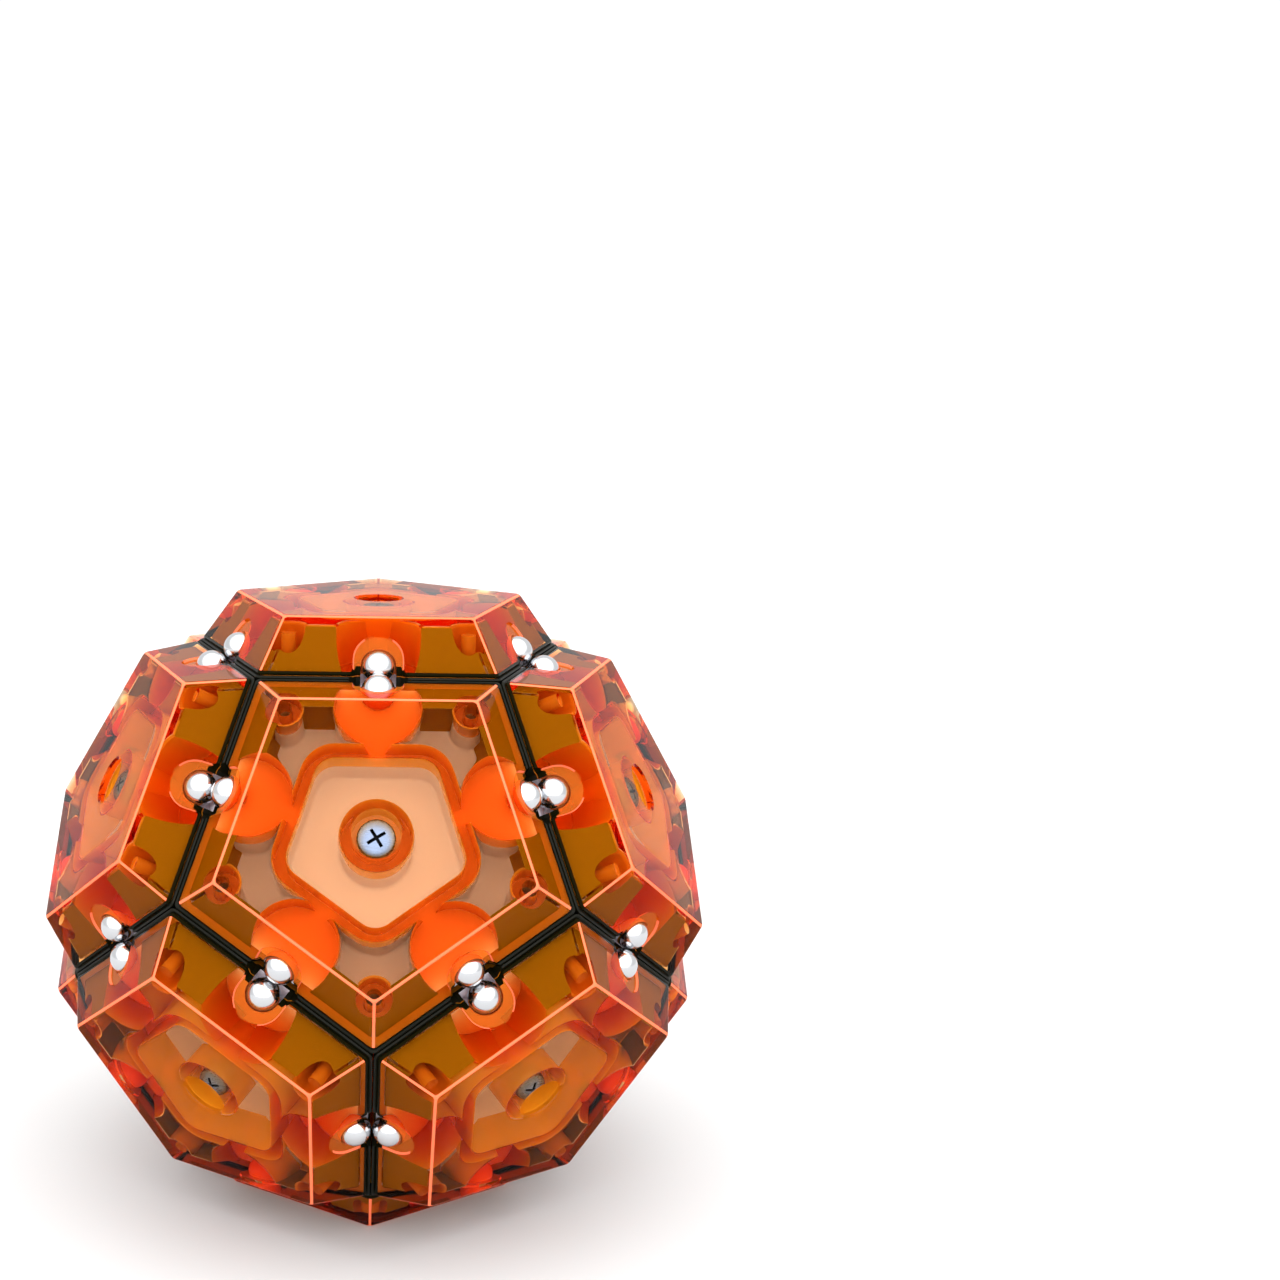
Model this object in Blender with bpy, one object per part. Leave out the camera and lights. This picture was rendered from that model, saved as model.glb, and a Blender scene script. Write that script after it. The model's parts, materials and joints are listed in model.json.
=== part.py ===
"""A puzzle ball of twelve see-through pentagonal modules that magnet balls hold together.

The modules are the faces of a regular dodecahedron that rests on one of them. Every module has the
same pieces: an outer and an inner cover that part at mid thickness, one screw that clamps them, and a
magnet ball in a pocket at the middle of each side, which touches the ball of the module next to it.

A module is modelled in its own frame: +Z is its outward normal, z = 0 is the plane where its covers
part, and +X points at the middle of one side. The object's own frame has its origin at the centre of
the face that it rests on, with +Z up and -Y to the front.
"""

import math

import bmesh
import bpy
from mathutils import Matrix, Vector

MM = 0.001
SIDES = 5
TURN = 2 * math.pi / SIDES
HALF_TURN = TURN / 2
GOLDEN = (1 + math.sqrt(5)) / 2

# The dodecahedron on whose edges the modules meet.
SEAM_EDGE = 36.0 * MM
SEAM_APOTHEM = SEAM_EDGE / (2 * math.tan(HALF_TURN))
SEAM_INRADIUS = SEAM_EDGE * math.sqrt(250 + 110 * math.sqrt(5)) / 20

# A module tapers from mid thickness to both faces, at half the angle between two neighbours.
HALF_THICKNESS = 8.2 * MM
TAPER = 1 / GOLDEN
SEAM_SETBACK = 0.35 * MM
PARTING_SETBACK = 0.15 * MM
RIM_APOTHEM = SEAM_APOTHEM - SEAM_SETBACK * math.hypot(1, TAPER)

# The moulding inside the covers.
WALL = 1.6 * MM
RING_APOTHEM = 13.1 * MM
RING_WALL = 1.7 * MM
RING_CORNER = 5.0 * MM
BOSS_RADIUS = 5.2 * MM
BLOCK_RADIUS = 6.3 * MM
BLOCK_PLACE = 19.2 * MM
BLOCK_SIDES = 6

# The magnet balls and their pockets.
BALL_RADIUS = 2.5 * MM
BALL_LIFT = 1.1 * MM
BALL_GAP = 0.05 * MM
BALL_INSET = (BALL_RADIUS + BALL_GAP) * math.hypot(1, TAPER) - BALL_LIFT * TAPER
POCKET_RADIUS = 2.76 * MM
POCKET_GAP = 0.2 * MM

# The screw and its hole.
HEAD_RADIUS = 2.8 * MM
HEAD_TOP = HALF_THICKNESS - 3.4 * MM
HEAD_HEIGHT = 2.0 * MM
HEAD_UNDERCUT = 0.2 * MM
HEAD_EDGE = 1.2 * MM
CROWN_RADIUS = 0.7 * HEAD_RADIUS
SHANK_RADIUS = 1.3 * MM
SHANK_TIP = -5.9 * MM
TIP_RADIUS = 0.6 * SHANK_RADIUS
SCREW_GAP = 0.3 * MM
COUNTERBORE_RADIUS = 3.6 * MM
RECESS_LENGTH = 3.3 * MM
RECESS_WIDTH = 0.55 * MM
RECESS_DEPTH = 1.1 * MM
SCREW_TURN = math.radians(32)
SCREW_TURN_STEP = math.radians(47)

PAST = 2.0 * MM
ROUND_SIDES = 8

# The two rings of five modules between the top and the bottom one, each from the front round to the left.
NEIGHBOUR_ANGLE = math.atan(2)
FRONT = -math.pi / 2
UPPER = ("front", "right", "back_right", "back_left", "left")
LOWER = ("lower_right", "lower_far_right", "lower_back", "lower_far_left", "lower_left")
SHOWN_SEAMS = (
    ("top", "front"), ("top", "right"), ("top", "left"),
    ("front", "right"), ("front", "left"), ("front", "lower_right"), ("front", "lower_left"),
    ("right", "lower_right"), ("left", "lower_left"), ("lower_right", "lower_left"),
    ("bottom", "lower_right"), ("bottom", "lower_left"),
)


def clear_scene():
    for thing in list(bpy.data.objects):
        bpy.data.objects.remove(thing)


def make_material(name, colour, roughness, metallic=0.0, transmission=0.0):
    material = bpy.data.materials.new(name)
    material.use_nodes = True
    shader = material.node_tree.nodes["Principled BSDF"]
    shader.inputs["Base Color"].default_value = (*colour, 1)
    shader.inputs["Roughness"].default_value = roughness
    shader.inputs["Metallic"].default_value = metallic
    shader.inputs["Transmission Weight"].default_value = transmission
    material.diffuse_color = (*colour, 1)
    return material


def polar(radius, angle):
    return radius * math.cos(angle), radius * math.sin(angle)


def circle(radius, sides=ROUND_SIDES, centre=(0, 0)):
    points = [polar(radius, 2 * math.pi * i / sides) for i in range(sides)]
    return [(centre[0] + x, centre[1] + y) for x, y in points]


def pentagon(apothem):
    """A pentagon with the middles of its sides at multiples of 72 degrees."""
    return [polar(apothem / math.cos(HALF_TURN), HALF_TURN + TURN * k) for k in range(SIDES)]


def rounded_pentagon(apothem, corner, steps=1):
    """The same pentagon with arcs at its corners."""
    points = []
    for k in range(SIDES):
        towards = HALF_TURN + TURN * k
        cx, cy = polar((apothem - corner) / math.cos(HALF_TURN), towards)
        for i in range(steps + 1):
            x, y = polar(corner, towards - HALF_TURN + TURN * i / steps)
            points.append((cx + x, cy + y))
    return points


def add_object(name, shape):
    mesh = bpy.data.meshes.new(name)
    shape.to_mesh(mesh)
    shape.free()
    thing = bpy.data.objects.new(name, mesh)
    bpy.context.scene.collection.objects.link(thing)
    return thing


def loft(name, sections):
    """A closed solid through (outline, z) sections with as many points each, in either order of z."""
    sections = sorted(sections, key=lambda section: section[1])
    shape = bmesh.new()
    rings = [[shape.verts.new((x, y, z)) for x, y in outline] for outline, z in sections]
    for low, high in zip(rings, rings[1:]):
        for i, corner in enumerate(low):
            j = (i + 1) % len(low)
            shape.faces.new((corner, low[j], high[j], high[i]))
    shape.faces.new(rings[0][::-1])
    shape.faces.new(rings[-1])
    return add_object(name, shape)


def box(name, size, place):
    shape = bmesh.new()
    bmesh.ops.create_cube(shape, size=1, matrix=place @ Matrix.Diagonal((*size, 1)))
    return add_object(name, shape)


def make_ball():
    shape = bmesh.new()
    bmesh.ops.create_icosphere(shape, subdivisions=2, radius=BALL_RADIUS)
    return add_object("ball", shape)


def combine(body, tool, operation):
    """Changes body's mesh by a Boolean with tool, and removes tool."""
    step = body.modifiers.new(operation.lower(), "BOOLEAN")
    step.solver = "EXACT"
    step.operation = operation
    step.object = tool
    evaluated = body.evaluated_get(bpy.context.evaluated_depsgraph_get())
    shaped = bpy.data.meshes.new_from_object(evaluated)
    body.modifiers.clear()
    body.data = shaped
    bpy.data.objects.remove(tool)


def rim_at(height):
    """The apothem of the module's outside, height from mid thickness."""
    return RIM_APOTHEM - TAPER * height


def make_hollow(side):
    """The free space in one cover: its inside, less the ring, the screw's boss and the balls' blocks."""
    ceiling = HALF_THICKNESS - WALL
    wall = WALL * math.hypot(1, TAPER)
    hollow = loft("hollow", [
        (pentagon(rim_at(-PAST) - wall), -side * PAST),
        (pentagon(rim_at(ceiling) - wall), side * ceiling),
    ])
    span = (-side * 2 * PAST, side * (HALF_THICKNESS + PAST))
    ring = loft("ring", [(rounded_pentagon(RING_APOTHEM, RING_CORNER), z) for z in span])
    inside = RING_APOTHEM - RING_WALL
    further = (2 * span[0], 2 * span[1])
    bore = loft("bore", [(rounded_pentagon(inside, RING_CORNER - RING_WALL), z) for z in further])
    combine(ring, bore, "DIFFERENCE")
    combine(hollow, ring, "DIFFERENCE")
    combine(hollow, loft("boss", [(circle(BOSS_RADIUS), z) for z in span]), "DIFFERENCE")
    for k in range(SIDES):
        block = circle(BLOCK_RADIUS, BLOCK_SIDES, polar(BLOCK_PLACE, TURN * k))
        combine(hollow, loft("block", [(block, z) for z in span]), "DIFFERENCE")
    return hollow


def make_cover(name, side):
    """One cover: side is 1 for the outer one and -1 for the inner one."""
    cover = loft(name, [
        (pentagon(rim_at(PARTING_SETBACK)), side * PARTING_SETBACK),
        (pentagon(rim_at(HALF_THICKNESS)), side * HALF_THICKNESS),
    ])
    combine(cover, make_hollow(side), "DIFFERENCE")
    for k in range(SIDES):
        pocket = circle(POCKET_RADIUS, ROUND_SIDES, polar(SEAM_APOTHEM - BALL_INSET, TURN * k))
        reach = BALL_RADIUS + POCKET_GAP
        span = (BALL_LIFT - reach, BALL_LIFT + reach)
        combine(cover, loft("pocket", [(pocket, z) for z in span]), "DIFFERENCE")
    return cover


def bore_covers(outer, inner):
    """The screw passes the outer cover, with its head in a counterbore, and ends blind in the inner one."""
    hole = circle(SHANK_RADIUS + SCREW_GAP)
    seat = HEAD_TOP - HEAD_HEIGHT - SCREW_GAP
    combine(outer, loft("hole", [(hole, -PAST), (hole, seat + PAST)]), "DIFFERENCE")
    wide = circle(COUNTERBORE_RADIUS)
    combine(outer, loft("counterbore", [(wide, seat), (wide, HALF_THICKNESS + PAST)]), "DIFFERENCE")
    combine(inner, loft("pilot", [(hole, SHANK_TIP - SCREW_GAP), (hole, PAST)]), "DIFFERENCE")


def make_screw():
    """A pan head screw with a cross recess."""
    underside = HEAD_TOP - HEAD_HEIGHT
    screw = loft("screw", [
        (circle(TIP_RADIUS), SHANK_TIP),
        (circle(SHANK_RADIUS), SHANK_TIP + SHANK_RADIUS),
        (circle(SHANK_RADIUS), underside),
        (circle(HEAD_RADIUS), underside + HEAD_UNDERCUT),
        (circle(HEAD_RADIUS), underside + HEAD_EDGE),
        (circle(CROWN_RADIUS), HEAD_TOP),
    ])
    for quarter in (0, math.pi / 2):
        place = Matrix.Translation((0, 0, HEAD_TOP)) @ Matrix.Rotation(quarter, 4, "Z")
        arm = box("arm", (RECESS_LENGTH, RECESS_WIDTH, 2 * RECESS_DEPTH), place)
        combine(screw, arm, "DIFFERENCE")
    return screw


def ring_normals(names, start, rise):
    """The outward normals of five modules round the vertical axis, the first one at azimuth start."""
    normals = {}
    for k, name in enumerate(names):
        x, y = polar(math.sin(NEIGHBOUR_ANGLE), start + TURN * k)
        normals[name] = Vector((x, y, rise))
    return normals


def module_normals():
    rise = math.cos(NEIGHBOUR_ANGLE)
    return {
        "top": Vector((0, 0, 1)),
        **ring_normals(UPPER, FRONT, rise),
        **ring_normals(LOWER, FRONT + HALF_TURN, -rise),
        "bottom": Vector((0, 0, -1)),
    }


def side_direction(normal, other):
    """The direction in a module's plane from its centre to the middle of its side with another one."""
    return (other - other.dot(normal) * normal).normalized()


def module_frame(name, normals):
    """Where a module stands, with its +X at the top or bottom module, and at the front one for the top."""
    normal = normals[name]
    facing = {"top": "front", "bottom": "lower_right"}
    across = side_direction(normal, normals[facing.get(name, "top" if normal.z > 0 else "bottom")])
    axes = Matrix((across, normal.cross(across), normal)).transposed()
    centre = Vector((0, 0, SEAM_INRADIUS + HALF_THICKNESS))
    return Matrix.Translation(centre + SEAM_INRADIUS * normal) @ axes.to_4x4()


def place_copy(name, mesh, material, parent, place=Matrix()):
    """A piece of a module that shares its mesh with those of the other modules."""
    thing = bpy.data.objects.new(name, mesh)
    bpy.context.scene.collection.objects.link(thing)
    thing.parent = parent
    thing.matrix_local = place
    if not thing.data.materials:
        thing.data.materials.append(material)
    return thing


def add_balls(name, normals, frame, parent, mesh, material):
    """The magnet balls of a module's sides at the seams that are modelled with their balls."""
    for pair in SHOWN_SEAMS:
        if name not in pair:
            continue
        other = pair[1 - pair.index(name)]
        across = frame.to_3x3().inverted() @ side_direction(normals[name], normals[other])
        centre = across * (SEAM_APOTHEM - BALL_INSET) + Vector((0, 0, BALL_LIFT))
        place_copy(f"ball_{name}_at_{other}", mesh, material, parent, Matrix.Translation(centre))


def main():
    clear_scene()
    cover_plastic = make_material("cover_plastic", (0.95, 0.26, 0.05), 0.08, transmission=0.85)
    inner_plastic = make_material("inner_plastic", (0.85, 0.20, 0.03), 0.10, transmission=0.80)
    magnet_nickel = make_material("magnet_nickel", (0.82, 0.82, 0.84), 0.12, metallic=1.0)
    screw_steel = make_material("screw_steel", (0.70, 0.72, 0.75), 0.30, metallic=1.0)

    outer, inner = make_cover("outer_cover", 1), make_cover("inner_cover", -1)
    bore_covers(outer, inner)
    screw, ball = make_screw(), make_ball()
    meshes = {thing.name: thing.data for thing in (outer, inner, screw, ball)}
    clear_scene()

    normals = module_normals()
    for index, name in enumerate(normals):
        frame = module_frame(name, normals)
        module = bpy.data.objects.new(f"module_{name}", None)
        module.matrix_world = frame
        bpy.context.scene.collection.objects.link(module)
        place_copy(f"outer_cover_{name}", meshes["outer_cover"], cover_plastic, module)
        place_copy(f"inner_cover_{name}", meshes["inner_cover"], inner_plastic, module)
        turned = Matrix.Rotation(SCREW_TURN + SCREW_TURN_STEP * (index - 1), 4, "Z")
        place_copy(f"screw_{name}", meshes["screw"], screw_steel, module, turned)
        add_balls(name, normals, frame, module, meshes["ball"], magnet_nickel)


main()
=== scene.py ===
"""The looks of the magnetic dodecahedron puzzle ball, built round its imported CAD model.

Twelve see-through modules hold together by magnet balls. A module's pieces are modelled once, in the
module's own frame, and stand in for the plain CAD solids of all twelve modules: +Z is the module's
outward normal, z = 0 is the plane where its two covers part, and +X points at the middle of one side.
Heights in a module are measured from that plane. Lengths are in metres.
"""

import json
import math

import bmesh
import bpy
from mathutils import Matrix, Vector


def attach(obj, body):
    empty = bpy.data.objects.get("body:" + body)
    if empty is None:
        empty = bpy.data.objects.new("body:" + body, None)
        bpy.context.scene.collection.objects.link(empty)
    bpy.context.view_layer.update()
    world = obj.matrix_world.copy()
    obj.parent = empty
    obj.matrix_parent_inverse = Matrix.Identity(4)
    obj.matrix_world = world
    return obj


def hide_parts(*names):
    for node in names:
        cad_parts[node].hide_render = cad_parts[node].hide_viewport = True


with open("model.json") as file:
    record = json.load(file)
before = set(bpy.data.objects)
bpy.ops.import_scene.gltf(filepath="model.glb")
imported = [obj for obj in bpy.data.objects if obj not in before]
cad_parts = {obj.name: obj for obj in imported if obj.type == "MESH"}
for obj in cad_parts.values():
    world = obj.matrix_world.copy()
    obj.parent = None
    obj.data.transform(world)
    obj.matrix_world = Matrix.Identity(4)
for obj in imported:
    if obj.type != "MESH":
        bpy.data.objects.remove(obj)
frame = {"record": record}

MM = 0.001
SIDES = 5
TURN = 2 * math.pi / SIDES
HALF_TURN = TURN / 2
GOLDEN = (1 + math.sqrt(5)) / 2

# The dodecahedron on whose edges the modules meet, and a module's taper, as in the CAD model.
SEAM_EDGE = 36.0 * MM
SEAM_APOTHEM = SEAM_EDGE / (2 * math.tan(HALF_TURN))
SEAM_INRADIUS = SEAM_EDGE * math.sqrt(250 + 110 * math.sqrt(5)) / 20
HALF_THICKNESS = 8.2 * MM
TAPER = 1 / GOLDEN
SLANT = math.hypot(1, TAPER)
RIM_APOTHEM = SEAM_APOTHEM - 0.35 * MM * SLANT
FLANK_TILT = math.atan(TAPER)

# The covers' outside. The inner one has a lip under its rim, which nearly closes the seam.
PARTING_GAP = 0.02 * MM
SEAM_ROUND = 0.3 * MM
FACE_ROUND = 0.8 * MM
CORNER_ROUND = 1.0 * MM
SEAM_STRIP = 0.7 * MM
# How deep under a flank the seams' painted black shade reaches.
SEAM_SHADE_DEPTH = 0.75 * MM
LIP = 0.24 * MM
LIP_HEIGHT = 1.4 * MM
RIM_STEP = 0.1 * MM
RIM_WIDTH = 2.4 * MM
RIM_BORDER = 0.55 * MM

# The covers' inside.
WALL = 1.6 * MM
CEILING = HALF_THICKNESS - WALL
CEILING_ROUND = 0.7 * MM
INNER_CORNER_ROUND = 0.9 * MM
DRAFT = 0.018
FOOT = 0.55 * MM
RING_APOTHEM = 13.1 * MM
RING_WALL = 1.7 * MM
RING_CORNER = 5.0 * MM
BOSS_RADIUS = 5.1 * MM
BLOCK_PLACE = 19.2 * MM
BLOCK_RADIUS = 6.2 * MM
POST_PLACE = 0.63 * SEAM_EDGE
POST_RADIUS = 2.4 * MM
POST_BORE = 1.1 * MM
POST_BORE_TOP = 5.4 * MM

# The magnet balls, their pockets, and the recess and the notch round each of them.
BALL_RADIUS = 2.5 * MM
BALL_LIFT = 1.1 * MM
BALL_PLACE = SEAM_APOTHEM - (BALL_RADIUS + 0.05 * MM) * SLANT + BALL_LIFT * TAPER
POCKET_RADIUS = 2.7 * MM
POCKET_ARC = (math.radians(4), math.radians(86))
RECESS_HALF_WIDTH = 3.75 * MM
RECESS_TOP = 4.7 * MM
RECESS_DEPTH = 0.35 * MM
NOTCH_DEPTH = 1.7 * MM
NOTCH_HALF_LENGTH = 4.3 * MM
NOTCH_HALF_FLOOR = 3.3 * MM
NOTCH_REACH = 4.5 * MM

# (colour, clearness) of the zones of a piece, which faces carry under these names for the materials.
COLOUR_MARK = "zone_colour"
CLEAR_MARK = "zone_clearness"
# Painted shade: the seams' rims and notches are painted near-black and opaque for the dark gap between modules.
SEAM_PAINTED_SHADE = ((0.004, 0.004, 0.001), 0.0)
OUTER_WALL = ((1.0, 0.95, 0.90), 1.0)
OUTER_FLANK = ((1.0, 0.85, 0.60), 1.0)
# Painted highlight: the rounds along a cover's edges are painted a bright, mostly opaque orange for the light
# lines that glance off them.
EDGE_PAINTED_HIGHLIGHT = ((1.0, 0.20, 0.09), 0.15)
# Painted highlight: the floor of the recess round each pocket is painted a partly opaque orange for the bright
# band of light round the ball.
RECESS_PAINTED_HIGHLIGHT = ((0.75, 0.26, 0.03), 0.8)
RIB_ORANGE = ((0.88, 0.55, 0.05), 0.4)
BLOCK_AMBER = ((0.62, 0.30, 0.02), 0.35)
# Painted shade: the inside of the outer cover's flanks is painted a dark, nearly opaque amber for the shaded
# windows seen through them.
WINDOW_PAINTED_SHADE = ((0.19, 0.10, 0.001), 0.05)
CORNER_ORANGE = ((0.60, 0.24, 0.02), 0.5)
POCKET_ORANGE = ((0.9, 0.26, 0.08), 0.05)
INNER_WALL = ((0.96, 0.90, 0.98), 0.2)
# Painted shade: the inner cover's flanks and the step of its rim are painted dark amber for the shade that
# falls on them inside the ball and in the seam.
INNER_FLANK_PAINTED_SHADE = ((0.40, 0.15, 0.004), 0.2)
INNER_RIM_PAINTED_SHADE = ((0.42, 0.17, 0.006), 0.2)
INNER_FACE = ((0.80, 0.27, 0.06), 0.2)
SCREW_STEEL = ((0.17, 0.21, 0.30), 0.0)
# Painted shade: the screw's cross recess is painted near-black for the shade inside it.
CROSS_PAINTED_SHADE = ((0.004, 0.004, 0.005), 0.0)

# How the zones are told apart: tolerances of lengths, and of the normals' parts along +Z or outward.
HAIR = 0.01 * MM
CLOSE = 0.02 * MM
NEAR = 0.05 * MM
BORE_MARGIN = 0.1 * MM
EDGE_DEPTH = 0.3 * MM
RIB_SHARE = 1.1
UPRIGHT = 0.1
STANDING = 0.5
CROSS_TILT = 0.9
POST_LEVEL = 0.95
LEVEL = 0.97
TILT_SLACK = 0.15
EDGE_TURN = 0.9
MOUTH_TURN = 0.8
MOUTH_RISE = 0.3

# The screw and its hole.
HEAD_RADIUS = 2.8 * MM
HEAD_TOP = HALF_THICKNESS - 3.4 * MM
HEAD_HEIGHT = 2.0 * MM
HEAD_EDGE = 0.35 * MM
HEAD_EDGE_TURN = math.radians(70)
HEAD_UNDERCUT = 0.1 * MM
DOME_RADIUS = 8.0 * MM
DOME_DROP = 0.02 * MM
SHANK_RADIUS = 1.28 * MM
THREAD_DEPTH = 0.28 * MM
THREAD_PITCH = 0.95 * MM
THREAD_RUN_OUT = 0.4
SHANK_TIP = -5.9 * MM
SHANK_OVERLAP = 0.2 * MM
TIP_SHARE = 0.35
SCREW_GAP = 0.3 * MM
COUNTERBORE_RADIUS = 3.6 * MM
COUNTERBORE_CHAMFER = 0.35 * MM
CROSS_LENGTH = 3.3 * MM
CROSS_WIDTH = 0.5 * MM
CROSS_DEPTH = 1.1 * MM
CROSS_MOUTH = 0.1 * MM
CROSS_TAPER = (0.55, 0.8)
SCREW_TURN = math.radians(32)
SCREW_TURN_STEP = math.radians(47)

# How far a tool goes past what it cuts, and how finely rounds and circles are divided.
PAST = 2.0 * MM
ARC_STEPS = 5
CORNER_STEPS = 6
FACE_STEPS = 7
RING_STEPS = 8
FOOT_STEPS = 4
POCKET_STEPS = 9
RECESS_STEPS = 16
HEAD_STEPS = 4
DOME_STEPS = 7
THREAD_STEPS = 8
ROUND_SIDES = 40
POST_SIDES = 24
POST_BORE_SIDES = 16
POCKET_SIDES = 32
HEAD_SIDES = 48
THREAD_SIDES = 24
BALL_SUBDIVISIONS = 4

# Where most of a noise texture's values lie.
NOISE_SPREAD = (0.3, 0.7)

# The angle over which a mesh stays creased.
COVER_CREASE = 28
SCREW_CREASE = 35
BALL_CREASE = 60

# The two rings of five modules between the top and the bottom one, each from the front round to the left.
NEIGHBOUR_ANGLE = math.atan(2)
FRONT = -math.pi / 2
UPPER = ("front", "right", "back_right", "back_left", "left")
LOWER = ("lower_right", "lower_far_right", "lower_back", "lower_far_left", "lower_left")

# Where the camera stands round the dodecahedron's centre, and its lens.
VIEW_AZIMUTH = math.radians(-0.235)
VIEW_ELEVATION = math.radians(16.49)
VIEW_ROLL = math.radians(-0.877)
VIEW_DISTANCE = 323.7 * MM
LENS = 55.65
SHIFT = (0.2076, 0.1979)

# The soft light: the world's strength, from the dark to the bright side, round the direction of the key light.
KEY_DIRECTION = (0.0, -0.6, 0.8)
KEY_EDGE = (0.25, 0.75)
WORLD_STRENGTH = (1.06, 3.5)
FLOOR_SIZE = 6.0
FLOOR_DROP = 0.1 * MM


# ---------------------------------------------------------------- outlines

def polar(radius, angle):
    return radius * math.cos(angle), radius * math.sin(angle)


def arc(centre, radius, start, end, steps=ARC_STEPS):
    """Points along an arc of a profile, from one angle to another."""
    turns = [start + (end - start) * i / steps for i in range(steps + 1)]
    return [(centre[0] + x, centre[1] + y) for x, y in (polar(radius, turn) for turn in turns)]


def circle(radius, centre=(0, 0), sides=ROUND_SIDES):
    points = [polar(radius, 2 * math.pi * i / sides) for i in range(sides)]
    return [(centre[0] + x, centre[1] + y) for x, y in points]


def rounded_pentagon(apothem, corner, steps=CORNER_STEPS):
    """A pentagon with the middles of its sides at multiples of 72 degrees, and arcs at its corners."""
    points = []
    for k in range(SIDES):
        towards = HALF_TURN + TURN * k
        centre = polar((apothem - corner) / math.cos(HALF_TURN), towards)
        points += arc(centre, corner, towards - HALF_TURN, towards + HALF_TURN, steps)
    return points


# ---------------------------------------------------------------- solids

def add_mesh(name, shape):
    mesh = bpy.data.meshes.new(name)
    shape.to_mesh(mesh)
    shape.free()
    thing = bpy.data.objects.new(name, mesh)
    bpy.context.scene.collection.objects.link(thing)
    return thing


def loft(name, sections):
    """A closed solid through (outline, z) sections with as many points each, in either order of z."""
    sections = sorted(sections, key=lambda section: section[1])
    shape = bmesh.new()
    rings = [[shape.verts.new((x, y, z)) for x, y in outline] for outline, z in sections]
    for low, high in zip(rings, rings[1:]):
        for i, corner in enumerate(low):
            j = (i + 1) % len(low)
            shape.faces.new((corner, low[j], high[j], high[i]))
    shape.faces.new(rings[0][::-1])
    shape.faces.new(rings[-1])
    return add_mesh(name, shape)


def combine(body, tool, operation):
    """Changes body's mesh by a Boolean with tool, and removes tool."""
    step = body.modifiers.new(operation, "BOOLEAN")
    step.solver = "EXACT"
    step.operation = operation
    step.object = tool
    apply_modifiers(body)
    bpy.data.objects.remove(tool)


def apply_modifiers(body):
    evaluated = body.evaluated_get(bpy.context.evaluated_depsgraph_get())
    shaped = bpy.data.meshes.new_from_object(evaluated)
    body.modifiers.clear()
    body.data = shaped


def shade(body, sharp):
    """Smooth rounds, crisp edges over the sharp angle, and flats that stay flat beside their rounds."""
    body.data.shade_smooth()
    body.data.set_sharp_from_angle(angle=math.radians(sharp))
    weigh = body.modifiers.new("weigh", "WEIGHTED_NORMAL")
    weigh.keep_sharp = True
    weigh.weight = 100
    apply_modifiers(body)


# ---------------------------------------------------------------- covers

def rim_at(height):
    """The apothem of a module's flank, height from the parting plane."""
    return RIM_APOTHEM - TAPER * height


def flank_round(setback, radius, height, start, end, steps=ARC_STEPS):
    """(apothem, height) along a round between the flank, set back by setback, and a level face."""
    apothem = rim_at(height) - (setback + radius) * SLANT
    return arc((apothem, height), radius, start, end, steps)


def pentagon_sections(profile, side, corner, setback=0.0):
    sections = []
    for apothem, height in profile:
        round_left = corner - max(0.0, rim_at(height) - setback * SLANT - apothem)
        sections.append((rounded_pentagon(apothem, max(round_left, corner / 4)), side * height))
    return sections


def make_envelope(name, side):
    up, down = math.pi / 2, -math.pi / 2
    if side > 0:
        profile = flank_round(0, SEAM_ROUND, PARTING_GAP + SEAM_ROUND, down, FLANK_TILT)
        profile.append((rim_at(SEAM_STRIP), SEAM_STRIP))
    else:
        profile = [(rim_at(0), PARTING_GAP)]
        profile += [(rim_at(height) + LIP * SLANT, height) for height in (LIP, LIP_HEIGHT)]
        profile.append((rim_at(LIP_HEIGHT + LIP), LIP_HEIGHT + LIP))
    profile += flank_round(0, FACE_ROUND, HALF_THICKNESS - FACE_ROUND, FLANK_TILT, up, FACE_STEPS)
    return loft(name, pentagon_sections(profile, side, CORNER_ROUND))


def spread(height):
    """How much thicker an inner wall is on each side at a height: its draft, and the round at its foot."""
    into_foot = min(max(height - (CEILING - FOOT), 0.0), FOOT)
    return DRAFT * max(height, 0.0) + FOOT - math.sqrt(FOOT ** 2 - into_foot ** 2)


def wall_heights():
    """Where an inner wall's sections lie: past the parting plane, on it, round its foot and past the face."""
    foot = [CEILING - FOOT + FOOT * math.sin(math.pi / 2 * i / FOOT_STEPS) for i in range(FOOT_STEPS + 1)]
    return [-PAST, 0.0] + foot + [HALF_THICKNESS + PAST]


def wall(name, outline, side):
    """An inner wall or pillar, for which outline(spread) gives a section."""
    return loft(name, [(outline(spread(h)), side * h) for h in wall_heights()])


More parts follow.
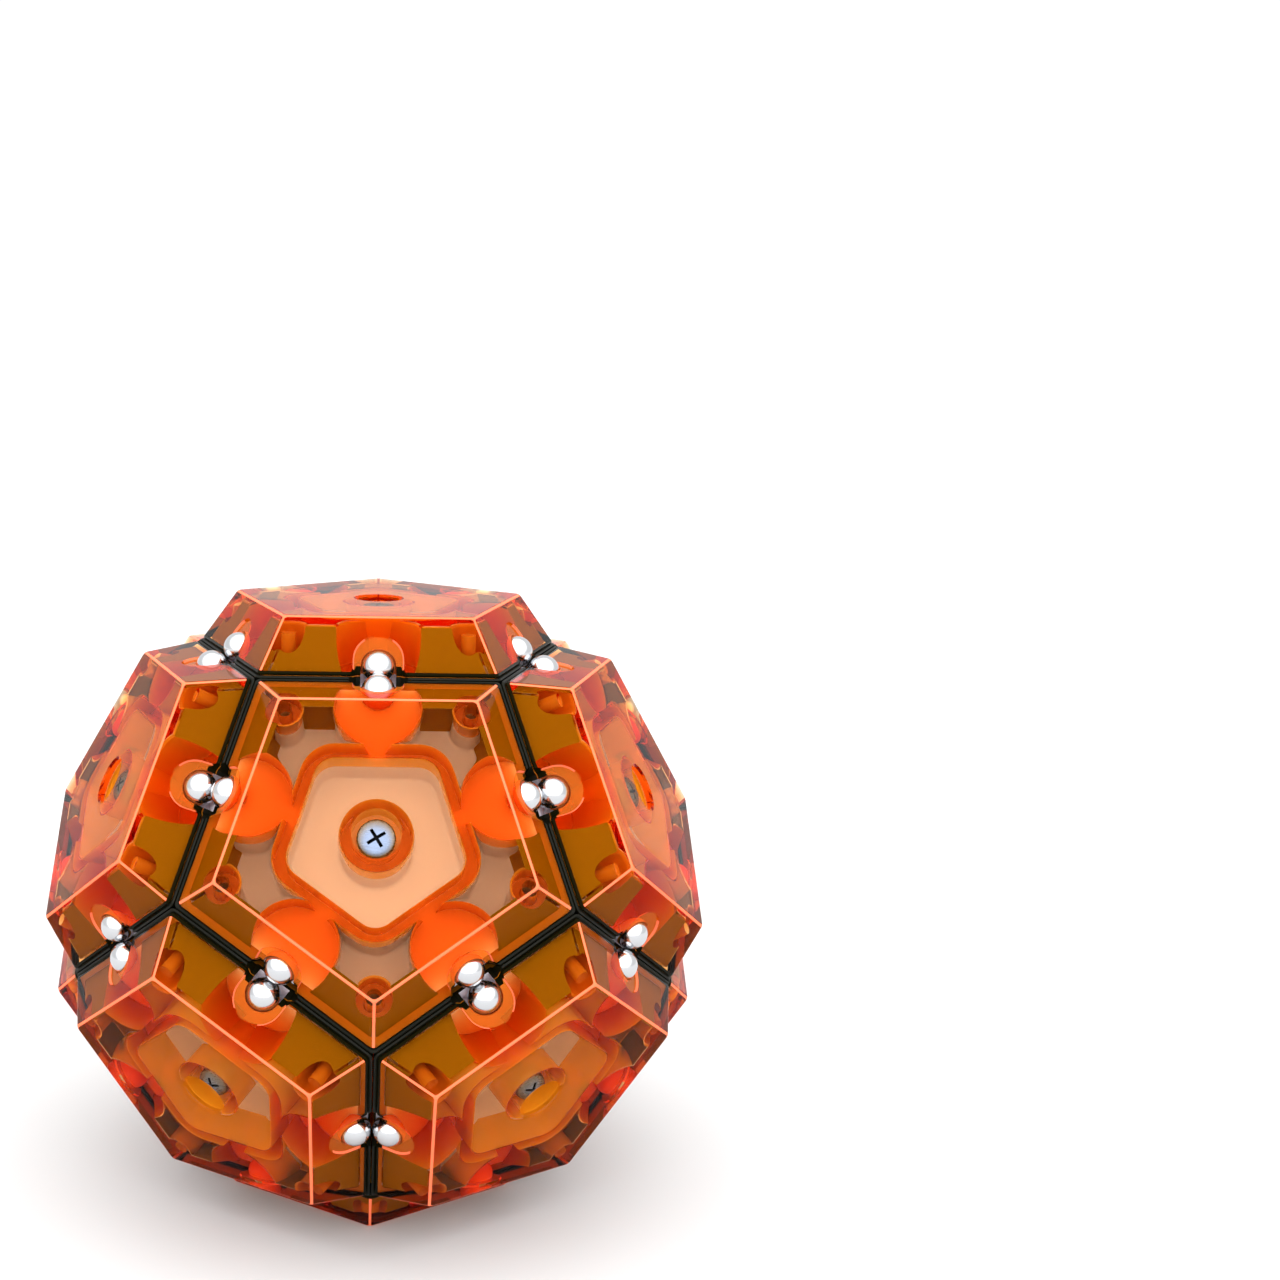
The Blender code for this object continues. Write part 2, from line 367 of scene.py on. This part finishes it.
def make_hollow(side):
    """The free space in one cover: its inside, less everything that stands on the face wall."""
    profile = [(rim_at(-PAST) - WALL * SLANT, -PAST)]
    profile += flank_round(WALL, CEILING_ROUND, CEILING - CEILING_ROUND, FLANK_TILT, math.pi / 2)
    hollow = loft("hollow", pentagon_sections(profile, side, INNER_CORNER_ROUND, WALL))

    ring = wall("ring", lambda s: rounded_pentagon(RING_APOTHEM + s, RING_CORNER + s, RING_STEPS), side)
    bore_sections = []
    for h in [-2 * PAST] + wall_heights()[1:-1] + [HALF_THICKNESS + 2 * PAST]:
        thickness = RING_WALL + spread(h)
        outline = rounded_pentagon(RING_APOTHEM - thickness, RING_CORNER - thickness, RING_STEPS)
        bore_sections.append((outline, side * h))
    bore = loft("bore", bore_sections)
    combine(ring, bore, "DIFFERENCE")
    combine(hollow, ring, "DIFFERENCE")
    combine(hollow, wall("boss", lambda s: circle(BOSS_RADIUS + s), side), "DIFFERENCE")
    for k in range(SIDES):
        place = polar(BLOCK_PLACE, TURN * k)
        combine(hollow, wall("block", lambda s: circle(BLOCK_RADIUS + s, place), side), "DIFFERENCE")
        place = polar(POST_PLACE, HALF_TURN + TURN * k)
        combine(hollow, wall("post", lambda s: circle(POST_RADIUS + s, place, POST_SIDES), side), "DIFFERENCE")
    return hollow


def side_frame(k):
    return Matrix.Rotation(TURN * k, 4, "Z")


def pocket_tool(k):
    """A round-ended hole along the module's axis, for the ball at side k."""
    centre = polar(BALL_PLACE, TURN * k)
    profile = [(POCKET_RADIUS, BALL_LIFT - POCKET_RADIUS)]
    profile += arc((0, BALL_LIFT), POCKET_RADIUS, *POCKET_ARC, POCKET_STEPS)
    return loft("pocket", [(circle(radius, centre, POCKET_SIDES), z) for radius, z in profile])


def recess_tool(k):
    """A shallow arch-shaped recess in the outer cover's flank round the pocket."""
    top = RECESS_TOP - RECESS_HALF_WIDTH

    def outline(grow):
        half = RECESS_HALF_WIDTH + grow
        feet = [(-half, -2 * NOTCH_REACH), (half, -2 * NOTCH_REACH)]
        return arc((0, top), half, 0, math.pi, RECESS_STEPS) + feet

    tool = loft("recess", [(outline(-RECESS_DEPTH / 2), -RECESS_DEPTH), (outline(PAST), 2 * PAST)])
    outward = Vector((1, 0, TAPER)).normalized()
    along = Vector((0, 1, 0))
    upward = outward.cross(along)
    foot = Vector((BALL_PLACE, 0, BALL_LIFT))
    foot += outward * (RIM_APOTHEM / SLANT - foot.dot(outward))
    axes = Matrix((along, upward, outward)).transposed()
    tool.data.transform(side_frame(k) @ Matrix.Translation(foot) @ axes.to_4x4())
    if axes.determinant() < 0:
        tool.data.flip_normals()
    return tool


def notch_tool(k):
    """A cut with slanting ends across the rims where two balls meet."""
    floor = SEAM_APOTHEM - NOTCH_DEPTH
    mouth = floor + 2 * NOTCH_DEPTH
    half_mouth = NOTCH_HALF_LENGTH + NOTCH_DEPTH
    outline = [(floor, -NOTCH_HALF_FLOOR), (mouth, -half_mouth), (mouth, half_mouth), (floor, NOTCH_HALF_FLOOR)]
    tool = loft("notch", [(outline, -NOTCH_REACH), (outline, NOTCH_REACH)])
    tool.data.transform(side_frame(k))
    return tool


def rim_step_tool():
    """A shallow step all round the inner cover's rim, which the outer cover's rim comes down on."""
    tool = loft("step", [(rounded_pentagon(RIM_APOTHEM - RIM_BORDER, CORNER_ROUND), z)
                         for z in (-PARTING_GAP - RIM_STEP, PAST)])
    kept = loft("kept", [(rounded_pentagon(RIM_APOTHEM - RIM_WIDTH, INNER_CORNER_ROUND), z)
                         for z in (-PAST, 2 * PAST)])
    combine(tool, kept, "DIFFERENCE")
    return tool


def make_cover(name, side):
    """One cover: side is 1 for the outer one and -1 for the inner one."""
    cover = make_envelope(name, side)
    if side < 0:
        combine(cover, rim_step_tool(), "DIFFERENCE")
    combine(cover, make_hollow(side), "DIFFERENCE")
    for k in range(SIDES):
        if side > 0:
            combine(cover, recess_tool(k), "DIFFERENCE")
        combine(cover, pocket_tool(k), "DIFFERENCE")
        combine(cover, notch_tool(k), "DIFFERENCE")
        bore = circle(POST_BORE, polar(POST_PLACE, HALF_TURN + TURN * k), POST_BORE_SIDES)
        combine(cover, loft("post_bore", [(bore, -side * PAST), (bore, side * POST_BORE_TOP)]), "DIFFERENCE")
    return cover


def bore_covers(outer, inner):
    """The screw passes the outer cover, with its head in a counterbore, and ends blind in the inner one."""
    hole = circle(SHANK_RADIUS + SCREW_GAP)
    seat = HEAD_TOP - HEAD_HEIGHT - SCREW_GAP
    combine(outer, loft("hole", [(hole, -PAST), (hole, seat + PAST)]), "DIFFERENCE")
    mouth = COUNTERBORE_RADIUS + COUNTERBORE_CHAMFER + PAST
    combine(outer, loft("counterbore", [
        (circle(COUNTERBORE_RADIUS), seat),
        (circle(COUNTERBORE_RADIUS), HALF_THICKNESS - COUNTERBORE_CHAMFER),
        (circle(mouth), HALF_THICKNESS + PAST),
    ]), "DIFFERENCE")
    combine(inner, loft("pilot", [(hole, SHANK_TIP - SCREW_GAP), (hole, PAST)]), "DIFFERENCE")


# ---------------------------------------------------------------- screw and ball

def thread_sections(top):
    """Sections of the shank, whose radius rises and falls along a helix."""
    sections = []
    count = round((top - SHANK_TIP) / THREAD_PITCH * THREAD_STEPS)
    for i in range(count + 1):
        z = SHANK_TIP + (top - SHANK_TIP) * i / count
        point = min(1.0, TIP_SHARE + (z - SHANK_TIP) / (2 * SHANK_RADIUS))
        cut = min(1.0, max(0.0, (top - z) / THREAD_PITCH - THREAD_RUN_OUT))
        outline = []
        for j in range(THREAD_SIDES):
            wave = abs(2 * ((z / THREAD_PITCH - j / THREAD_SIDES) % 1) - 1)
            radius = point * (SHANK_RADIUS - THREAD_DEPTH * cut * wave)
            outline.append(polar(radius, 2 * math.pi * j / THREAD_SIDES))
        sections.append((outline, z))
    return sections


def dome_height(radius):
    """The height of the head's domed top at a distance from the screw's axis."""
    return HEAD_TOP - DOME_DROP - DOME_RADIUS + math.sqrt(DOME_RADIUS ** 2 - radius ** 2)


def make_screw():
    """A cross-recess pan head screw."""
    underside = HEAD_TOP - HEAD_HEIGHT
    dome_rim = HEAD_RADIUS - HEAD_EDGE
    profile = [(HEAD_RADIUS - HEAD_UNDERCUT, underside), (HEAD_RADIUS, underside + HEAD_UNDERCUT)]
    profile += arc((dome_rim, dome_height(dome_rim) - HEAD_EDGE), HEAD_EDGE, 0, HEAD_EDGE_TURN, HEAD_STEPS)
    for i in range(1, DOME_STEPS):
        radius = dome_rim * (1 - i / DOME_STEPS)
        profile.append((radius, dome_height(radius)))
    screw = loft("screw", [(circle(radius, sides=HEAD_SIDES), z) for radius, z in profile])
    combine(screw, loft("shank", thread_sections(underside + SHANK_OVERLAP)), "UNION")
    half, width = CROSS_LENGTH / 2, CROSS_WIDTH / 2
    mouth = [(-half, -width), (half, -width), (half, width), (-half, width)]
    floor = [(CROSS_TAPER[0] * x, CROSS_TAPER[1] * y) for x, y in mouth]
    for quarter in (0, math.pi / 2):
        arm = loft("arm", [(floor, HEAD_TOP - CROSS_DEPTH), (mouth, HEAD_TOP + CROSS_MOUTH)])
        arm.data.transform(Matrix.Rotation(quarter, 4, "Z"))
        combine(screw, arm, "DIFFERENCE")
    return screw


def make_ball():
    shape = bmesh.new()
    bmesh.ops.create_icosphere(shape, subdivisions=BALL_SUBDIVISIONS, radius=BALL_RADIUS)
    return add_mesh("ball", shape)


# ---------------------------------------------------------------- zones

def side_place(point):
    """How far out a point of a module lies towards its nearest side, and that side's direction."""
    angle = round(math.atan2(point.y, point.x) / TURN) * TURN
    out = Vector((math.cos(angle), math.sin(angle), 0))
    return point.dot(out), out


def flank_depth(point):
    """How deep a point of a cover lies under the plane of its nearest flank."""
    return (rim_at(abs(point.z)) - side_place(point)[0]) / SLANT


def near_axis(point, reach, place, first=0.0):
    """True for a point within reach of one of the five axes that stand at a place from the module's centre."""
    return any(math.dist(point.xy, polar(place, first + TURN * k)) < reach for k in range(SIDES))


def in_notch(face):
    return abs(face.normal.z) < UPRIGHT and side_place(face.center)[0] > SEAM_APOTHEM - NOTCH_DEPTH - CLOSE


def at_seam(face, corners):
    """True for the faces that lie hidden in the seams: the notches and the covers' meeting rims, which are
    painted near-black as the seams' shade.
    """
    at_rim = all(flank_depth(corner) < SEAM_SHADE_DEPTH for corner in corners)
    return in_notch(face) or at_rim and -LIP_HEIGHT - LIP < face.center.z < SEAM_STRIP


def in_pocket(face):
    """True for a pocket's walls, and not for the recess's floor round its mouth."""
    inside = near_axis(face.center, POCKET_RADIUS + NEAR, BALL_PLACE)
    outward = face.normal.dot(side_place(face.center)[1])
    faces_out = outward > MOUTH_TURN / SLANT and face.normal.z > MOUTH_RISE
    return inside and abs(face.center.z) < BALL_LIFT + POCKET_RADIUS and not faces_out


def on_edge(face):
    """True for the rounds between a cover's face and its flanks, and between its flanks, which are painted
    orange as a highlight.
    """
    place, out = side_place(face.center)
    outside = flank_depth(face.center) < EDGE_DEPTH and place > RING_APOTHEM
    plain_flank = face.normal.dot(out) > EDGE_TURN / SLANT
    return outside and abs(face.normal.z) <= LEVEL and not plain_flank


def on_post(face):
    """True for the walls of the corner posts."""
    near = near_axis(face.center, POST_RADIUS + FOOT, POST_PLACE, HALF_TURN)
    return near and abs(face.normal.z) < POST_LEVEL and flank_depth(face.center) > WALL / 2


def on_flank(face):
    """True for the inside and the outside of a cover's flanks."""
    slanting = abs(abs(face.normal.z) - math.sin(FLANK_TILT)) < TILT_SLACK
    return slanting and flank_depth(face.center) < WALL + NEAR


def on_rib(face):
    """True for the walls that stand inside a cover: the ring, the blocks and the boss."""
    outside_bore = math.hypot(face.center.x, face.center.y) > COUNTERBORE_RADIUS + BORE_MARGIN
    return outside_bore and abs(face.normal.z) < STANDING and flank_depth(face.center) > RIB_SHARE * WALL


def in_cross(face):
    """True for the walls and the floor of the screw's cross recess, which are painted black as shade."""
    along, across = sorted((abs(face.center.x), abs(face.center.y)), reverse=True)
    above_floor = face.center.z - (HEAD_TOP - CROSS_DEPTH)
    on_wall = across < CROSS_WIDTH / 2 + HAIR and above_floor > -HAIR and face.normal.z < CROSS_TILT
    return along < CROSS_LENGTH / 2 + HAIR and (on_wall or abs(above_floor) < HAIR)


def outer_zone(face, corners):
    if at_seam(face, corners):
        return SEAM_PAINTED_SHADE
    if in_pocket(face):
        return POCKET_ORANGE
    if on_edge(face):
        return EDGE_PAINTED_HIGHLIGHT
    if on_post(face):
        return CORNER_ORANGE
    if on_flank(face):
        depth = flank_depth(face.center)
        # The flank's inside is painted dark as shade, and the recess's floor lighter as a highlight.
        if depth > WALL / 2:
            return WINDOW_PAINTED_SHADE
        return RECESS_PAINTED_HIGHLIGHT if depth > RECESS_DEPTH / 2 else OUTER_FLANK
    if on_rib(face):
        return BLOCK_AMBER if near_axis(face.center, BLOCK_RADIUS + FOOT, BLOCK_PLACE) else RIB_ORANGE
    return OUTER_WALL


def inner_zone(face, corners):
    if at_seam(face, corners):
        return SEAM_PAINTED_SHADE
    if abs(face.center.z + PARTING_GAP + RIM_STEP) < HAIR:
        return INNER_RIM_PAINTED_SHADE
    if face.center.z < FACE_ROUND / 2 - HALF_THICKNESS:
        return INNER_FACE
    return INNER_FLANK_PAINTED_SHADE if on_flank(face) else INNER_WALL


def screw_zone(face, corners):
    return CROSS_PAINTED_SHADE if in_cross(face) else SCREW_STEEL


def paint(mesh, zone_of):
    """Writes each face's colour and clearness, painted shade and highlights among them, for the materials to
    read.
    """
    colours = mesh.attributes.new(COLOUR_MARK, "FLOAT_COLOR", "CORNER")
    clearness = mesh.attributes.new(CLEAR_MARK, "FLOAT", "FACE")
    for face in mesh.polygons:
        colour, clear = zone_of(face, [mesh.vertices[i].co for i in face.vertices])
        clearness.data[face.index].value = clear
        for corner in face.loop_indices:
            colours.data[corner].color = (*colour, 1)


# ---------------------------------------------------------------- materials

def new_material(name):
    material = bpy.data.materials.new(name)
    material.use_nodes = True
    return material, material.node_tree.nodes["Principled BSDF"]


def noise(material, scale, detail=3.0, stretch=(1, 1, 1)):
    """Noise in the piece's own space, whose waves are about 1 / scale metres long."""
    nodes, links = material.node_tree.nodes, material.node_tree.links
    space = nodes.new("ShaderNodeTexCoord")
    mapping = nodes.new("ShaderNodeMapping")
    mapping.inputs["Scale"].default_value = stretch
    pattern = nodes.new("ShaderNodeTexNoise")
    pattern.inputs["Scale"].default_value = scale
    pattern.inputs["Detail"].default_value = detail
    links.new(space.outputs["Object"], mapping.inputs["Vector"])
    links.new(mapping.outputs["Vector"], pattern.inputs["Vector"])
    return pattern.outputs["Fac"]


def spread_values(material, value, low, high):
    """The value, spread over the range from low to high."""
    nodes, links = material.node_tree.nodes, material.node_tree.links
    ranged = nodes.new("ShaderNodeMapRange")
    ranged.inputs["From Min"].default_value, ranged.inputs["From Max"].default_value = NOISE_SPREAD
    ranged.inputs["To Min"].default_value = low
    ranged.inputs["To Max"].default_value = high
    links.new(value, ranged.inputs["Value"])
    return ranged.outputs["Result"]


def add_bump(material, shader, height, strength, distance):
    nodes, links = material.node_tree.nodes, material.node_tree.links
    bump = nodes.new("ShaderNodeBump")
    bump.inputs["Strength"].default_value = strength
    bump.inputs["Distance"].default_value = distance
    links.new(height, bump.inputs["Height"])
    links.new(bump.outputs["Normal"], shader.inputs["Normal"])


def read_mark(material, mark, output, socket):
    marked = material.node_tree.nodes.new("ShaderNodeAttribute")
    marked.attribute_name = mark
    material.node_tree.links.new(marked.outputs[output], socket)


def make_clear_plastic():
    """The outer covers: see-through, and more saturated the thicker they are."""
    material, shader = new_material("outer_cover_plastic")
    nodes, links = material.node_tree.nodes, material.node_tree.links
    read_mark(material, COLOUR_MARK, "Color", shader.inputs["Base Color"])
    read_mark(material, CLEAR_MARK, "Fac", shader.inputs["Transmission Weight"])
    shader.inputs["IOR"].default_value = 1.09
    shader.inputs["Specular Tint"].default_value = (1.0, 0.5, 0.2, 1)
    links.new(spread_values(material, noise(material, 60), 0.0, 0.04), shader.inputs["Roughness"])
    add_bump(material, shader, noise(material, 90, 1.0), 0.04, 0.4 * MM)
    absorption = nodes.new("ShaderNodeVolumeAbsorption")
    absorption.inputs["Color"].default_value = (0.955, 0.55, 0.0, 1)
    absorption.inputs["Density"].default_value = 300
    links.new(absorption.outputs["Volume"], nodes["Material Output"].inputs["Volume"])
    return material


def make_milky_plastic():
    """The inner covers: the same plastic, clouded, so that the back of the ball doesn't show through it."""
    material, shader = new_material("inner_cover_plastic")
    links = material.node_tree.links
    read_mark(material, COLOUR_MARK, "Color", shader.inputs["Base Color"])
    shader.inputs["Transmission Weight"].default_value = 0.2
    shader.inputs["IOR"].default_value = 1.3
    shader.inputs["Specular IOR Level"].default_value = 0.2
    links.new(spread_values(material, noise(material, 80), 0.4, 0.55), shader.inputs["Roughness"])
    add_bump(material, shader, noise(material, 1200, 2.0), 0.08, 0.05 * MM)
    return material


def make_metal(name, roughness, brush, strength):
    """Metal with a fine uneven polish. brush is the stretch of its marks."""
    material, shader = new_material(name)
    links = material.node_tree.links
    shader.inputs["Metallic"].default_value = 1.0
    marks = noise(material, 900, 4.0, brush)
    links.new(spread_values(material, marks, *roughness), shader.inputs["Roughness"])
    add_bump(material, shader, marks, strength, 0.05 * MM)
    return material, shader


def make_nickel():
    material, shader = make_metal("magnet_nickel", (0.10, 0.2), (1, 1, 1), 0.05)
    shader.inputs["Base Color"].default_value = (0.58, 0.59, 0.61, 1)
    return material


def make_steel():
    material, shader = make_metal("screw_steel", (0.22, 0.38), (1, 1, 6), 0.12)
    read_mark(material, COLOUR_MARK, "Color", shader.inputs["Base Color"])
    return material


def make_floor_material():
    material, shader = new_material("studio_floor")
    shader.inputs["Base Color"].default_value = (0.53, 0.53, 0.53, 1)
    shader.inputs["Roughness"].default_value = 0.8
    return material


# ---------------------------------------------------------------- placing

def ring_normals(names, start, rise):
    """The outward normals of five modules round the vertical axis, the first one at azimuth start."""
    normals = {}
    for k, name in enumerate(names):
        x, y = polar(math.sin(NEIGHBOUR_ANGLE), start + TURN * k)
        normals[name] = Vector((x, y, rise))
    return normals


def module_normals():
    rise = math.cos(NEIGHBOUR_ANGLE)
    return {
        "top": Vector((0, 0, 1)),
        **ring_normals(UPPER, FRONT, rise),
        **ring_normals(LOWER, FRONT + HALF_TURN, -rise),
        "bottom": Vector((0, 0, -1)),
    }


def side_direction(normal, other):
    """The direction in a module's plane from its centre to the middle of its side with another one."""
    return (other - other.dot(normal) * normal).normalized()


def module_frame(name, normals, centre):
    """Where a module stands, with its +X at the top or bottom module, and at the front one for the top."""
    normal = normals[name]
    facing = {"top": "front", "bottom": "lower_right"}
    across = side_direction(normal, normals[facing.get(name, "top" if normal.z > 0 else "bottom")])
    axes = Matrix((across, normal.cross(across), normal)).transposed()
    return Matrix.Translation(centre + SEAM_INRADIUS * normal) @ axes.to_4x4()


def neighbours(name, normals):
    """The five modules that share a seam with this one."""
    others = [other for other in normals if other != name]
    return sorted(others, key=lambda other: -normals[name].dot(normals[other]))[:SIDES]


def place_piece(name, mesh, material, slot, body, place, *nodes):
    """A copy of a piece in its place, which rides on a body and stands for its CAD nodes, if any."""
    mesh = mesh.copy()
    mesh.transform(place)
    mesh.materials.append(material)
    piece = bpy.data.objects.new(name, mesh)
    bpy.context.scene.collection.objects.link(piece)
    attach(piece, body)
    if nodes:
        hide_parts(*nodes)
    return piece


# ---------------------------------------------------------------- stage

def make_camera(centre):
    level = math.cos(VIEW_ELEVATION)
    back = Vector((math.sin(VIEW_AZIMUTH) * level, -math.cos(VIEW_AZIMUTH) * level, math.sin(VIEW_ELEVATION)))
    right = Vector((math.cos(VIEW_AZIMUTH), math.sin(VIEW_AZIMUTH), 0))
    up = back.cross(right)
    rolled_right = right * math.cos(VIEW_ROLL) - up * math.sin(VIEW_ROLL)
    rolled_up = right * math.sin(VIEW_ROLL) + up * math.cos(VIEW_ROLL)
    data = bpy.data.cameras.new("camera")
    data.sensor_width = 36
    data.lens = LENS
    data.shift_x, data.shift_y = SHIFT
    data.clip_start = 0.01
    camera = bpy.data.objects.new("camera", data)
    bpy.context.scene.collection.objects.link(camera)
    axes = Matrix((rolled_right, rolled_up, back)).transposed()
    camera.matrix_world = Matrix.Translation(centre + back * VIEW_DISTANCE) @ axes.to_4x4()
    bpy.context.scene.camera = camera


def make_floor():
    shape = bmesh.new()
    bmesh.ops.create_grid(shape, x_segments=1, y_segments=1, size=FLOOR_SIZE)
    floor = add_mesh("studio_floor", shape)
    floor.location.z = -FLOOR_DROP
    floor.data.materials.append(make_floor_material())


def make_world():
    world = bpy.data.worlds.new("studio")
    bpy.context.scene.world = world
    world.use_nodes = True
    nodes, links = world.node_tree.nodes, world.node_tree.links
    direction = nodes.new("ShaderNodeTexCoord")
    facing = nodes.new("ShaderNodeVectorMath")
    facing.operation = "DOT_PRODUCT"
    facing.inputs[1].default_value = KEY_DIRECTION
    strength = nodes.new("ShaderNodeMapRange")
    strength.interpolation_type = "SMOOTHSTEP"
    strength.inputs["From Min"].default_value, strength.inputs["From Max"].default_value = KEY_EDGE
    strength.inputs["To Min"].default_value, strength.inputs["To Max"].default_value = WORLD_STRENGTH
    links.new(direction.outputs["Generated"], facing.inputs[0])
    links.new(facing.outputs["Value"], strength.inputs["Value"])
    background = nodes["Background"]
    background.inputs["Color"].default_value = (1, 1, 1, 1)
    links.new(strength.outputs["Result"], background.inputs["Strength"])


def set_render_depth():
    """Light passes many walls of the ball, and colours show as they are."""
    scene = bpy.context.scene
    scene.cycles.max_bounces = 28
    scene.cycles.transmission_bounces = 28
    scene.cycles.glossy_bounces = 8
    scene.cycles.diffuse_bounces = 3
    scene.view_settings.view_transform = "Standard"


# ---------------------------------------------------------------- the object

def main():
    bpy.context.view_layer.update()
    centre = Vector((0, 0, SEAM_INRADIUS + HALF_THICKNESS))
    make_camera(centre)
    make_floor()
    make_world()
    set_render_depth()

    cover_plastic = make_clear_plastic()
    inner_plastic = make_milky_plastic()
    nickel, steel = make_nickel(), make_steel()

    outer, inner = make_cover("outer_cover", 1), make_cover("inner_cover", -1)
    bore_covers(outer, inner)
    screw, ball = make_screw(), make_ball()
    creases = ((outer, COVER_CREASE), (inner, COVER_CREASE), (screw, SCREW_CREASE), (ball, BALL_CREASE))
    for body, sharp in creases:
        shade(body, sharp)
    paint(outer.data, outer_zone)
    paint(inner.data, inner_zone)
    paint(screw.data, screw_zone)
    meshes = {body.name: body.data for body in (outer, inner, screw, ball)}
    for body in (outer, inner, screw, ball):
        bpy.data.objects.remove(body)

    normals = module_normals()
    bodies = frame["record"]["behaviour"]["bodies"]
    cad_nodes = {node for members in bodies.values() for node in members}
    for index, name in enumerate(normals):
        place = module_frame(name, normals, centre)
        body = f"module_{name}"
        place_piece(f"outer_shell_{name}", meshes["outer_cover"], cover_plastic, "outer_cover", body,
                    place, f"outer_cover_{name}")
        place_piece(f"inner_shell_{name}", meshes["inner_cover"], inner_plastic, "inner_cover", body,
                    place, f"inner_cover_{name}")
        turned = Matrix.Rotation(SCREW_TURN + SCREW_TURN_STEP * (index - 1), 4, "Z")
        place_piece(f"pan_head_screw_{name}", meshes["screw"], steel, "screw", body,
                    place @ turned, f"screw_{name}")
        for other in neighbours(name, normals):
            across = place.to_3x3().inverted() @ side_direction(normals[name], normals[other])
            spot = place @ Matrix.Translation(across * BALL_PLACE + Vector((0, 0, BALL_LIFT)))
            node = f"ball_{name}_at_{other}"
            shown = node in cad_nodes
            place_piece(f"magnet_{name}_at_{other}", meshes["ball"], nickel, "magnet",
                        node if shown else body, spot, *([node] if shown else []))


main()
